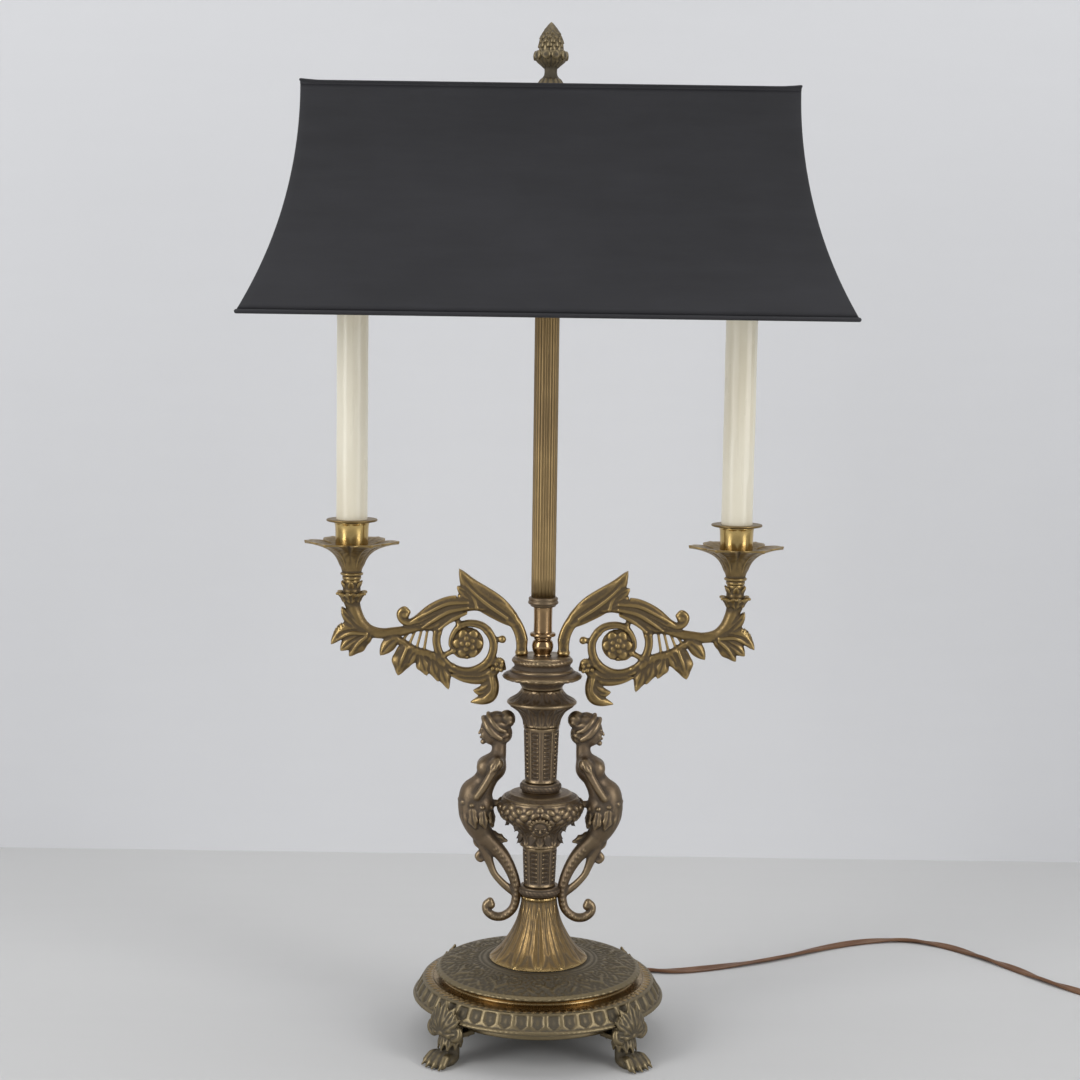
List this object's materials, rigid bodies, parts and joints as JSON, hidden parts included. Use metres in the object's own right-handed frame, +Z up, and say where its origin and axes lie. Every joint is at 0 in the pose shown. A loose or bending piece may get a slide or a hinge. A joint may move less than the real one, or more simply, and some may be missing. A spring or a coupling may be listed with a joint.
{
  "type": "bouillotte lamp",
  "caption": "Cast bronze table lamp with a footed round base, a figured column, scrolled candle arms, a rod with a finial and a black rectangular concave shade.",
  "frame": {"origin": "middle of the base's footprint, on the surface that the feet stand on", "axes": "+Z up the column; the two candle arms lie along X; the front is -Y; the mains lead leaves the base at the back, towards +Y"},
  "size_m": [0.7567, 0.3643, 0.735],
  "materials": {
    "base_bronze": "aged cast bronze, golden on the worn edges, grey-green in the recesses",
    "column_bronze": "aged cast bronze, warmer brown, golden on the worn edges",
    "polished_brass": "bright polished brass",
    "rod_brass": "satin olive-brown brass",
    "steel": "zinc-plated, dull",
    "shade_black": "satin charcoal paint with faint cloudy streaks",
    "ivory_sleeve": "satin ivory",
    "socket_black": "moulded, dull",
    "socket_brass": "bright",
    "bulb_cap": "bright",
    "bulb_glass": "clear blown glass",
    "cord_brown": "translucent copper-brown sheath",
    "switch_brown": "moulded, satin"
  },
  "bodies": {
    "lamp": {"base_plinth": "base_bronze", "base_dome": "base_bronze", "foot_rear_right": "base_bronze", "foot_rear_left": "base_bronze", "foot_front_left": "base_bronze", "foot_front_right": "base_bronze", "stem_foot": "base_bronze", "lower_ring": "column_bronze", "lower_shaft": "column_bronze", "vase": "column_bronze", "vase_collar": "column_bronze", "upper_shaft": "column_bronze", "capital": "column_bronze", "hub": "column_bronze", "arm_left": "column_bronze", "arm_right": "column_bronze", "leaf_pan_left": "column_bronze", "leaf_pan_right": "column_bronze", "figure_left": "column_bronze", "figure_right": "column_bronze", "candle_cup_left": "polished_brass", "candle_cup_right": "polished_brass", "drip_disc_left": "polished_brass", "drip_disc_right": "polished_brass", "column_bead": "polished_brass", "spacer_tube": "rod_brass", "rod_ferrule": "rod_brass", "rod": "rod_brass", "rod_cap": "rod_brass", "foot_screws": "steel", "arm_screws": "steel", "lamp_pipe": "steel", "pipe_nut": "steel", "socket_stem_left": "steel", "socket_stem_right": "steel", "socket_body_left": "socket_black", "socket_body_right": "socket_black", "socket_shell_left": "socket_brass", "socket_shell_right": "socket_brass", "plug_blades": "socket_brass", "cord_lead": "cord_brown", "cord_run": "cord_brown", "cord_coil": "cord_brown", "cord_tail": "cord_brown", "switch_base": "switch_brown", "switch_cover": "switch_brown", "plug_body": "switch_brown", "cord_gland": "switch_brown"},
    "shade": {"shade_shell": "shade_black", "shade_top_rim": "shade_black", "shade_bottom_rim": "shade_black", "shade_spider": "steel"},
    "finial": {"finial": "column_bronze"},
    "switch_wheel": {"switch_wheel": "switch_brown"},
    "bulb_left": {"bulb_cap_left": "bulb_cap", "bulb_glass_left": "bulb_glass"},
    "sleeve_left": {"candle_sleeve_left": "ivory_sleeve"},
    "bulb_right": {"bulb_cap_right": "bulb_cap", "bulb_glass_right": "bulb_glass"},
    "sleeve_right": {"candle_sleeve_right": "ivory_sleeve"}
  },
  "joints": [
    {"name": "shade_turn", "type": "hinge", "parent": "lamp", "child": "shade", "pos_m": [0, 0, 0.6755], "axis": [0, 0, 1], "range_deg": [-30, 30]},
    {"name": "finial_turn", "type": "hinge", "parent": "lamp", "child": "finial", "pos_m": [0, 0, 0.678], "axis": [0, 0, 1], "continuous": true},
    {"name": "bulb_left_turn", "type": "hinge", "parent": "lamp", "child": "bulb_left", "pos_m": [-0.139, 0, 0.5347], "axis": [0, 0, 1], "continuous": true},
    {"name": "sleeve_left_lift", "type": "slide", "parent": "lamp", "child": "sleeve_left", "axis": [0, 0, 1], "range_m": [0, 0.01]},
    {"name": "bulb_right_turn", "type": "hinge", "parent": "lamp", "child": "bulb_right", "pos_m": [0.139, 0, 0.5347], "axis": [0, 0, 1], "continuous": true},
    {"name": "sleeve_right_lift", "type": "slide", "parent": "lamp", "child": "sleeve_right", "axis": [0, 0, 1], "range_m": [0, 0.01]},
    {"name": "switch_wheel_turn", "type": "hinge", "parent": "lamp", "child": "switch_wheel", "pos_m": [0.46979, 0.00155, 0.0055], "axis": [0, 0, 1], "continuous": true}
  ]
}
